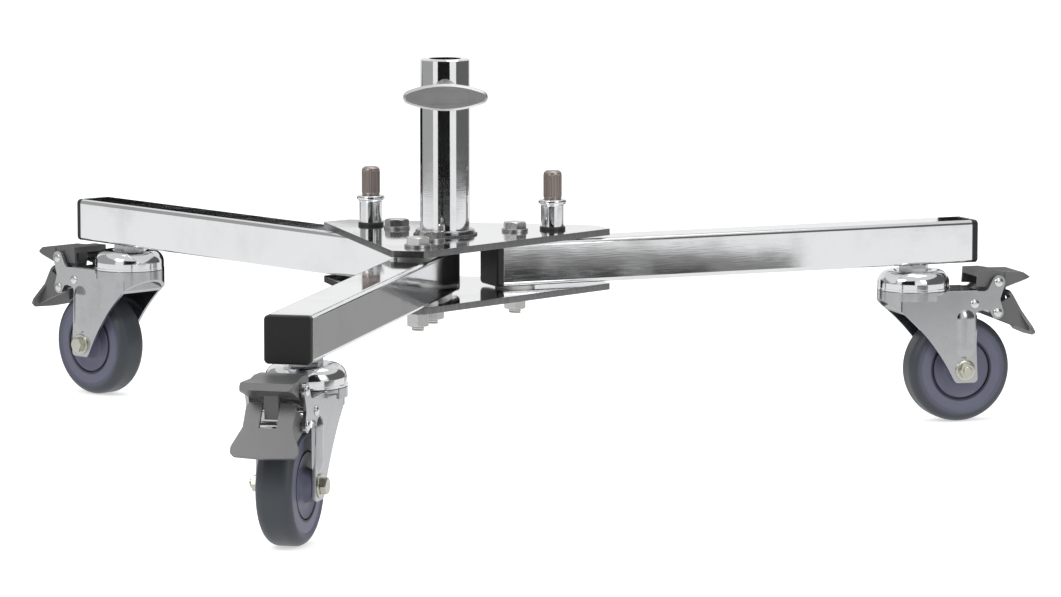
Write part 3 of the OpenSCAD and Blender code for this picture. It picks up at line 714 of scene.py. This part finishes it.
class StandSizes(bpy.types.PropertyGroup):
    edge: FloatProperty(
        name="Edge easing", description="Width of the eased edge on sheet and tube", default=0.0006,
        min=0.0001, max=0.003, unit="LENGTH", precision=4)
    thread_pitch: FloatProperty(
        name="Thread pitch", description="Pitch drawn on the bolt ends", default=0.00175, min=0.0005,
        max=0.004, unit="LENGTH", precision=5)
    bolt: FloatProperty(
        name="Hub bolts", description="Diameter of the hub bolts", default=0.012, min=0.006, max=0.016,
        unit="LENGTH", precision=4)
    bolt_hex: FloatProperty(
        name="Hub bolt heads", description="Width of a hub bolt's head across its corners", default=0.02196,
        min=0.012, max=0.03, unit="LENGTH", precision=5)
    front_bolts: FloatVectorProperty(
        name="Fixed leg bolts", description="Column axis to the two bolts of the fixed leg",
        subtype="XYZ_LENGTH", size=2, default=(0.052, 0.104), min=0.03, max=0.2, unit="LENGTH")
    knob_ribs: IntProperty(
        name="Knob ribs", description="Ribs round each lock knob", default=28, min=8, max=60)
    studio: FloatProperty(
        name="Studio level", description="Brightness of the studio round the stand", default=0.92,
        min=0.1, max=3)
    lens: FloatProperty(
        name="Lens", description="Focal length of the camera in millimetres", default=185.9, min=20,
        max=400)


def sizes():
    return bpy.context.scene.stand_sizes


class STAND_OT_finishes(bpy.types.Operator):
    """Make the materials"""
    bl_idname = "stand.finishes"
    bl_label = "Finishes"

    def execute(self, context):
        c = context.scene.stand_colours
        for name, make, *values in (
                ("tube_chrome", mirror_chrome, list(c.chrome), 0.055),
                # the plates: chrome, and a near-black colour of painted shade for their cut edges, with
                # duller cut steel
                ("plate_chrome", mirror_chrome, [v * 0.97 for v in c.chrome], 0.07, [0.115, 0.115, 0.118]),
                ("wing_steel", satin_zinc, [0.60, 0.60, 0.60], 0.36),
                ("weld_grey", satin_zinc, [0.17, 0.17, 0.17], 0.42),
                ("collar_dark", mirror_chrome, [0.30, 0.30, 0.31], 0.12),
                ("washer_zinc", satin_zinc, [0.50, 0.50, 0.50], 0.30),
                ("sleeve_chrome", mirror_chrome, list(c.chrome), 0.10),
                ("head_chrome", mirror_chrome, [v * 0.95 for v in c.chrome], 0.09),
                ("stem_zinc", satin_zinc, list(c.zinc), 0.22),
                ("rivet_steel", satin_zinc, [0.80, 0.80, 0.79], 0.20),
                ("leaf_steel", turned_steel, [0.50, 0.50, 0.50], 0.3),
                ("screw_steel", turned_steel, [0.66, 0.66, 0.65], 0.26),
                ("fastener_zinc", satin_zinc, list(c.fastener), 0.24),
                ("disc_plastic", moulded_plastic, [0.74, 0.73, 0.69], 0.45),
                ("cap_black", moulded_plastic, list(c.cap), 0.38, 0.45, 0.2),
                ("ring_black", moulded_plastic, [0.02, 0.02, 0.021], 0.4),
                ("pin_steel", turned_steel, [0.58, 0.59, 0.60], 0.22),
                ("knob_bronze", moulded_plastic, list(c.knob), 0.27, 0.4, 0.4, 0.75),
                ("spring_steel", turned_steel, [0.42, 0.43, 0.44], 0.3),
                ("fork_zinc", satin_zinc, list(c.zinc), 0.17),
                ("race_steel", turned_steel, [0.80, 0.80, 0.81], 0.08),
                ("axle_zinc", satin_zinc, [0.62, 0.61, 0.53], 0.28),
                # the wheel cores, and a darker copy of their colour painted as shade over the recessed ring
                ("wheel_grey", wheel_plastic, list(c.wheel), [0.030, 0.032, 0.050]),
                ("tread_grey", tread_rubber, list(c.tread), list(c.wheel)),
                ("pedal_grey", moulded_plastic, list(c.pedal), 0.34, 0.6, 0.25, 0.55)):
            FINISH[name] = make(name, *values)
        # every CAD node gets its finish; the ones that keep their own mesh need no more
        for sub in frame["record"]["subparts"]:
            mesh = NODES[sub["node"]].data
            mesh.materials.clear()
            mesh.materials.append(FINISH[sub["material_slot"]])
        return {"FINISHED"}


class STAND_OT_hub(bpy.types.Operator):
    """Dress the plates, the column, its weld and its clamp"""
    bl_idname = "stand.hub"
    bl_label = "Hub"

    def execute(self, context):
        edge = sizes().edge / MM
        for node in ("top_plate", "bottom_plate"):
            dress(node, "hub", "plate_chrome", edge * 1.2, cut=True)
        dress("column_tube", "hub", "tube_chrome", edge)
        dress("column_collar", "hub", "collar_dark", edge)
        dress("clamp_handle", "clamp", "wing_steel", edge * 0.8)
        # the weld: a ring of small overlapping ripples where the collar meets the plate
        deck = node_top("top_plate") / MM
        reach = (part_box("column_collar")[1].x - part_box("column_collar")[0].x) / 2
        ripple = lathe("ripple", rounded([(0, -1.1), (1.5, -1.1), (1.5, 1.1), (0, 1.1)], 0.9, 3),
                       Matrix.Scale(1.35, 4, Vector((0, 1, 0))), 8)
        item = put("ripple", ripple)
        blank = bpy.data.meshes.new("blank")
        bead = grown("weld_bead", ring_tree, blank, "weld_grey", Item=item, Count=58, Radius=reach + 0.3 * MM,
                     Uneven=0.16, Seed=11)
        drop(item)
        bead.transform(lifted(0, 0, deck + 0.5))
        add_piece("weld_bead", bead, "hub", "weld_grey", (), 50)
        return {"FINISHED"}


def hub_places():
    """The hub's four bolts, the folding legs' last, in metres."""
    near, far = sizes().front_bolts
    fold = [joint_at(side + "_leg_fold") for side in ("left", "right")]
    return [(0.0, -near), (0.0, -far)] + [(p.x, p.y) for p in fold]


class STAND_OT_fasteners(bpy.types.Operator):
    """Make the hub's bolts, nuts and washers"""
    bl_idname = "stand.fasteners"
    bl_label = "Hub fasteners"

    def execute(self, context):
        pitch = sizes().thread_pitch
        bolts, nuts, rings = (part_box("hub_" + k) for k in ("bolts", "nuts", "washers"))
        across, r = sizes().bolt_hex / MM, sizes().bolt / MM / 2
        # the thread's root, the washers' play round a bolt, and how far the heads stay below the CAD's
        root, play, head_low = r - 0.9, 0.4, 1.6
        deck, seat = node_top("top_plate") / MM, rings[1].z / MM
        length = (rings[1].z - bolts[0].z) / MM
        thread = (nuts[0].z - bolts[0].z) / MM + 4
        shank = lathe("shank", [
            (0, -length), (root - 0.3, -length), (root, -length + 0.6), (root, -length + thread),
            (r, -length + thread + 1), (r, 0), (0, 0)], UNTURNED, 32)
        head = joined("head", shank, hex_block("hexagon", across, (bolts[1].z / MM) - seat - head_low))
        bolt = grown("bolt", thread_tree, head, "fastener_zinc", Radius=r * MM, Pitch=pitch,
                     Turns=(thread - 0.8) * MM / pitch, Start=(-length + 0.4) * MM)
        nut = hex_block("nut", across, (nuts[1].z - nuts[0].z) / MM, r, 0.0, True)
        thick = seat - deck
        washer = lathe("washer", rounded([
            (r + play, 0), (2 * r, 0), (2 * r, thick), (r + play, thick)], 0.5, 3), UNTURNED, 48)
        sets = (
            ("hub_bolts", bolt, "fastener_zinc", [seat], 0.25),
            ("hub_nuts", nut, "fastener_zinc", [nuts[0].z / MM], 0.4),
            ("hub_washers", washer, "washer_zinc", [deck, rings[0].z / MM], 0.0))
        for node, mesh, finish, heights, twist in sets:
            item = put(node + "_item", mesh)
            spots = seats(node + "_spots", [
                ((x, y, z * MM), (0, 0, 0)) for x, y in hub_places() for z in heights])
            made = grown(node + "_made", seats_tree, spots, finish, Item=item, Twist=twist, Seed=4)
            drop(item)
            add_piece(node + "_made", made, "hub", finish, (node,), 26)
        return {"FINISHED"}


class STAND_OT_locks(bpy.types.Operator):
    """Make the leg locks' sleeves, rings and ribbed knobs"""
    bl_idname = "stand.locks"
    bl_label = "Leg locks"

    def execute(self, context):
        deck = node_top("top_plate") / MM
        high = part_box("plunger_sleeves")[1].z / MM - deck
        # radii of a sleeve in mm
        barrel, rim, bore, spring_room = 10.5, 12.9, 6.05, 8.8
        parts, feet = [], []
        for side in ("left", "right"):
            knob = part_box(side + "_plunger_knob")
            x, y = (knob[0].x + knob[1].x) / 2, (knob[0].y + knob[1].y) / 2
            place = lifted(x, y, deck)
            parts.append(lathe("sleeve", rounded([
                (spring_room, high), (12.2, high), (rim, high - 1.1), (rim, high - 2.9), (12.2, high - 4),
                (10.9, high - 4.6), (barrel, high - 5.4), (barrel, 0), (bore, 0), (bore, 14),
                (spring_room, 15.5)], 0.5, 4), place, 96))
            feet.append(lathe("foot", rounded([
                (barrel, 0), (11.7, 0), (11.7, 2.2), (11.1, 3), (barrel, 3)], 0.4, 3), place, 72))
            low, top = knob[0].z / MM - deck, knob[1].z / MM - deck
            body = lathe("knob", rounded([
                (0, low), (7.9, low), (7.9, low + 3.2), (8.4, low + 3.8), (7.8, low + 4.6), (7.8, top - 4.2),
                (8.35, top - 3.4), (8.0, top - 1.8), (6.6, top - 0.5), (5.4, top), (0, top)], 0.5, 3),
                UNTURNED, 72)
            rib = lathe("rib", rounded([
                (0, low + 4.2), (0.52, low + 4.4), (0.52, top - 3.9), (0, top - 3.7)], 0.3, 2),
                UNTURNED, 8)
            item = put("rib", rib)
            ribbed = grown(side + "_knob_ribbed", ring_tree, body, "knob_bronze", Item=item,
                           Count=sizes().knob_ribs, Radius=7.88 * MM, Uneven=0.0, Seed=1)
            drop(item)
            ribbed.transform(place)
            add_piece(side + "_knob_ribbed", ribbed, side + "_lock", "knob_bronze",
                      (side + "_plunger_knob",), 40)
        add_piece("lock_sleeves_turned", joined("lock_sleeves_turned", *parts), "hub", "sleeve_chrome",
                  ("plunger_sleeves",), 32)
        add_piece("lock_feet_turned", joined("lock_feet_turned", *feet), "hub", "ring_black",
                  ("plunger_base_rings",), 32)
        return {"FINISHED"}


class STAND_OT_legs(bpy.types.Operator):
    """Dress the leg tubes and their caps"""
    bl_idname = "stand.legs"
    bl_label = "Legs"

    def execute(self, context):
        edge = sizes().edge / MM
        for corner in CORNERS:
            body = CASTER_PARENT[corner]
            dress(corner + "_leg_tube", body, "tube_chrome", edge * 0.6)
            dress(corner + "_end_caps", body, "cap_black", edge * 0.8)
        return {"FINISHED"}


def under_leg(corner):
    """The caster's own frame, its origin under the leg on the swivel's axis."""
    m = caster_frame(corner)
    m.translation.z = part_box(corner + "_leg_tube")[0].z
    return m


class STAND_OT_swivels(bpy.types.Operator):
    """Make the stems and heads, and dress the forks"""
    bl_idname = "stand.swivels"
    bl_label = "Swivels"

    def execute(self, context):
        edge = sizes().edge / MM
        # the pressed head: middle and radii of its rolled bulge, height of its lower rim, the stem's hole
        bulge, outer, inner, low, hole = (22.25, -17.5), 11.5, 9.0, -24.4, 6.05
        for corner in CORNERS:
            body, swivel = CASTER_PARENT[corner], corner + "_swivel"
            place = under_leg(corner)
            shell = [(hole, -9), (13.2, -9), (14.4, -9.2)] + arc(bulge, outer, 130, 0, 22) + [
                (33.75, low + 2.4), (34.15, low + 1.9), (34.15, low + 0.5), (33.8, low), (31.3, low),
                (31.25, bulge[1])
            ] + arc(bulge, inner, 0, 180, 22) + [(13.25, low), (10.75, low), (10.75, -12), (hole, -12)]
            add_piece(corner + "_head_pressed", lathe("head", shell, place, 128), body, "head_chrome",
                      (corner + "_head",), 30)
            shank = lathe("shank", [
                (0, 14), (5.2, 14), (6, 13), (6, -28.6), (12, -28.6), (12, -31.2), (7, -31.2), (6.4, -33.4),
                (4.5, -34.2), (0, -34.2)], UNTURNED, 48)
            collar = hex_block("collar", 29, 9, 0, -9, True)
            stem = joined(corner + "_stem_made", shank, collar)
            stem.transform(place)
            add_piece(corner + "_stem_made", stem, body, "stem_zinc", (corner + "_stem",), 26)
            dress(corner + "_fork", swivel, "fork_zinc", edge * 0.9)
        return {"FINISHED"}


class STAND_OT_axles(bpy.types.Operator):
    """Make the axle bolts and the rivets"""
    bl_idname = "stand.axles"
    bl_label = "Axles and rivets"

    def execute(self, context):
        # the fork's outer faces, the bolt's and the flange's radius, and half the bush's length
        out, r, flange, bush = 25.5, 4.0, 10.0, 22.45
        dome = rounded([(0, 2.0), (2.2, 1.9), (3.9, 1.1), (4.5, 0), (2.5, 0), (2.5, -out), (0, -out)], 0.5, 3)
        for corner in CORNERS:
            swivel = corner + "_swivel"
            shank = lathe("shank", [
                (0, -out), (r, -out), (r, -bush), (6, -bush), (6, bush), (r, bush), (r, out + 7.6),
                (3.3, out + 8.5), (0, out + 8.5)], UNTURNED, 48)
            plate_low = lathe("flange", rounded([
                (0, -out - 1.5), (flange - 0.4, -out - 1.5), (flange, -out - 1), (flange, -out), (0, -out)],
                0.3, 3), UNTURNED, 72)
            plate_high = lathe("flange", rounded([
                (3, out), (flange, out), (flange - 0.4, out + 1.1), (8.2, out + 1.6), (3, out + 1.7)],
                0.3, 3), UNTURNED, 72)
            head = hex_block("head", 2 * r * 1.85, 5.2, 0, -out - 6.7, True)
            nut = hex_block("nut", 2 * r * 1.85, 4.9, r, out + 1.2)
            whole = joined("bolt", shank, plate_low, plate_high, head, nut)
            bolt = grown(corner + "_axle_made", thread_tree, whole, "axle_zinc", Radius=(r + 0.05) * MM,
                         Pitch=1.25 * MM, Turns=1.0, Start=(out + 6.5) * MM)
            bolt.transform(axle_frame(corner))
            add_piece(corner + "_axle_made", bolt, swivel, "axle_zinc", (corner + "_axle",), 30)
            here = caster_frame(corner)
            heading, side = here.col[0].to_3d(), here.col[1].to_3d()
            bearing = math.atan2(heading.y, heading.x)
            places = []
            for joint in ("_brake_press", "_brake_off_press", "_shoe_press"):
                pivot = joint_at(corner + joint)
                middle = here.translation + heading * (pivot - here.translation).dot(heading)
                for way in (1, -1):
                    p = middle + side * way * out * MM
                    places.append(((p.x, p.y, pivot.z), (math.radians(-90 * way), 0, bearing)))
            item = put("rivet", lathe("rivet", dome, UNTURNED, 32))
            rivets = grown(corner + "_rivets_made", seats_tree, seats("rivet_spots", places), "rivet_steel",
                           Item=item, Twist=3.0, Seed=5)
            drop(item)
            add_piece(corner + "_rivets_made", rivets, swivel, "rivet_steel", (corner + "_brake_pins",), 40)
        return {"FINISHED"}


class STAND_OT_wheels(bpy.types.Operator):
    """Make the wheel cores and tyres"""
    bl_idname = "stand.wheels"
    bl_label = "Wheels"

    def execute(self, context):
        # one side of each profile, from the bush outwards; rim and tread are radii
        rim, tread = 39, 50
        core_half = [
            (6.05, 22.1), (11.4, 22.1), (12.6, 21.6), (13.0, 20.6), (13.7, 15.6), (14.8, 13.6), (17, 12.9),
            (21, 12.8), (25.2, 13.7), (26.6, 14.3), (27.1, 14.1), (27.3, 12.2), (28.3, 12.2), (28.5, 14.1),
            (29.0, 14.5), (31.5, 14.5), (36.6, 14.5), (38.4, 14.45), (rim, 14.4)]
        tyre_half = [(rim, 14.4), (39.4, 14.5), (40.3, 15.0)] + arc((40.1, 6.1), 9.9, 74, 8, 14) + [
            (tread, 5.6), (tread, 2.8)]
        for corner in CORNERS:
            place = axle_frame(corner)
            wheel = corner + "_wheel"
            core = core_half + [(r, -h) for r, h in reversed(core_half)]
            add_piece(corner + "_core_moulded", lathe("core", core, place, 144, True), wheel, "wheel_grey",
                      (corner + "_wheel_core",), 30)
            tyre = tyre_half + [(tread, 0)] + [(r, -h) for r, h in reversed(tyre_half)]
            add_piece(corner + "_tyre_moulded", lathe("tyre", tyre, place, 160, True), wheel, "tread_grey",
                      (corner + "_tyre",), 34)
        return {"FINISHED"}


def trim_pedal(mesh, corner):
    """Draws in a pedal's heel and the sides of its lip, measured in the caster's own frame."""
    heel_from, heel_share, lip_from, lip_share = 8 * MM, 0.42, 20 * MM, 0.6
    here = caster_frame(corner)
    back = here.inverted()
    pivot = back @ joint_at(corner + "_brake_press")
    for v in mesh.vertices:
        p = back @ v.co
        heel = pivot.x - heel_from - p.x
        if heel > 0:
            p.x += heel * heel_share
        lip = abs(p.y) - lip_from
        if lip > 0:
            p.y -= math.copysign(lip * lip_share, p.y)
        v.co = here @ p


class STAND_OT_brakes(bpy.types.Operator):
    """Dress the pedals, flaps and leaves"""
    bl_idname = "stand.brakes"
    bl_label = "Brakes"

    def execute(self, context):
        edge = sizes().edge / MM
        for corner in CORNERS:
            pedal = softened(corner + "_pedal", edge * 1.9, 3)
            trim_pedal(pedal, corner)
            add_piece(corner + "_pedal_trimmed", pedal, corner + "_brake", "pedal_grey",
                      (corner + "_pedal",), 30)
            dress(corner + "_release", corner + "_brake_off", "pedal_grey", edge * 1.4, 3)
            dress(corner + "_brake_leaf", corner + "_brake_shoe", "leaf_steel", edge * 0.5)
        return {"FINISHED"}


# Cards that mirrors show. Bent: name, radius, low, high, ends in degrees from the camera's side, level
BENT_CARDS = (
    ("card_dark", 1.2, 0.062, 1.1, -34, 22, 0.010), ("card_right", 2.0, 0.036, 1.6, 52, 138, 0.12),
    ("card_left", 2.0, 0.036, 1.6, -138, -57, 0.36), ("card_low", 1.15, 0.0, 0.042, 30, 60, 0.03),
    ("card_low_soft", 1.2, 0.0, 0.056, 30, 64, 0.20), ("card_side", 0.6, 0.0, 0.12, 124, 154, 0.32))

# Flat, upright and facing the camera: name, depth, corners as (x, z), level
FLAT_CARDS = (
    ("card_back", 0.62, ((-1.3, 0), (-0.17, 0), (-0.17, 0.254), (-0.26, 0.254), (-1.3, 0.24)), 0.008),
    ("card_far", 0.8, ((0.33, 0.15), (0.42, 0.15), (0.42, 0.3), (0.33, 0.3)), 0.01))

# Name, place, width, height, power; all aim at one point
LAMPS_AIM = Vector((0, 0, 0.15))
LAMPS = (
    ("key", (-1.6, -2.6, 2.6), 1.6, 1.2, 34), ("fill", (2.6, -1.8, 1.6), 1.2, 1.6, 16),
    ("top", (0.2, 0.6, 3.0), 2.4, 1.4, 20))


class STAND_OT_stage(bpy.types.Operator):
    """Put in the floor, the lamps and the camera"""
    bl_idname = "stand.stage"
    bl_label = "Stage"

    def execute(self, context):
        scene = context.scene
        scene.view_settings.view_transform = "Standard"
        studio_sky(sizes().studio)
        reach, below = 30.0, 0.0004
        floor_mesh = bpy.data.meshes.new("floor")
        floor_mesh.from_pydata([(x * reach, y * reach, 0) for x, y in ((-1, -1), (1, -1), (1, 1), (-1, 1))],
                               [], [(0, 1, 2, 3)])
        floor = put("floor", floor_mesh)
        floor.location.z = -below
        # the camera sees a lit white floor with its shadows, and mirrors see a plain pale one
        f = Finish.named("floor_white")
        path = f.node("ShaderNodeLightPath")
        paper = f.node("ShaderNodeBsdfDiffuse", None, (0.86, 0.86, 0.86))
        bright = f.node("ShaderNodeEmission", None, WHITE, 0.50)
        both = f.node("ShaderNodeAddShader", None, paper.outputs[0], bright.outputs[0])
        plain = f.node("ShaderNodeEmission", None, (0.90, 0.90, 0.90), 1.0)
        pick = f.node("ShaderNodeMixShader", None, path.outputs["Is Camera Ray"], plain.outputs[0],
                      both.outputs[0])
        floor_mesh.materials.append(f.close(pick))
        for name, radius, low, high, start, end, level in BENT_CARDS:
            studio_card(name, bent_card(name, radius, low, high, start, end), level)
        for name, depth, corners, level in FLAT_CARDS:
            mesh = bpy.data.meshes.new(name)
            mesh.from_pydata([(x, depth, z) for x, z in corners], [], [tuple(range(len(corners)))])
            studio_card(name, mesh, level)
        for name, place, width, height, power in LAMPS:
            lamp = bpy.data.lights.new(name, "AREA")
            lamp.shape = "RECTANGLE"
            lamp.size, lamp.size_y, lamp.energy = width, height, power
            obj = put(name, lamp)
            obj.location = place
            obj.rotation_euler = (LAMPS_AIM - Vector(place)).to_track_quat("-Z", "Y").to_euler()
        camera = bpy.data.cameras.new("camera")
        camera.lens = sizes().lens
        camera.sensor_width = 36.0
        camera.clip_end = 100
        view = put("camera", camera)
        view.location = CAMERA_AT
        view.rotation_euler = (math.radians(90 - CAMERA_DOWN), 0, math.radians(CAMERA_TURN))
        scene.camera = view
        return {"FINISHED"}


class STAND_PT_sidebar(bpy.types.Panel):
    """Sizes, colours and the steps that dress the stand"""
    bl_label = "Runway Base Stand"
    bl_idname = "STAND_PT_sidebar"
    bl_space_type = "VIEW_3D"
    bl_region_type = "UI"
    bl_category = "Stand"

    def draw(self, context):
        layout = self.layout
        for group in (context.scene.stand_colours, context.scene.stand_sizes):
            box = layout.box()
            for key in group.__annotations__:
                box.prop(group, key)
        column = layout.column()
        for step in STEPS:
            column.operator(step.bl_idname)


STEPS = (STAND_OT_finishes, STAND_OT_hub, STAND_OT_fasteners, STAND_OT_locks, STAND_OT_legs, STAND_OT_swivels,
         STAND_OT_axles, STAND_OT_wheels, STAND_OT_brakes, STAND_OT_stage)
CLASSES = (StandColours, StandSizes, *STEPS, STAND_PT_sidebar)


def register():
    for c in CLASSES:
        bpy.utils.register_class(c)
    bpy.types.Scene.stand_colours = PointerProperty(type=StandColours)
    bpy.types.Scene.stand_sizes = PointerProperty(type=StandSizes)


def unregister():
    del bpy.types.Scene.stand_sizes
    del bpy.types.Scene.stand_colours
    for c in reversed(CLASSES):
        bpy.utils.unregister_class(c)


def main():
    register()
    for step in STEPS:
        group, call = step.bl_idname.split(".")
        getattr(getattr(bpy.ops, group), call)()


if __name__ == "__main__":
    main()
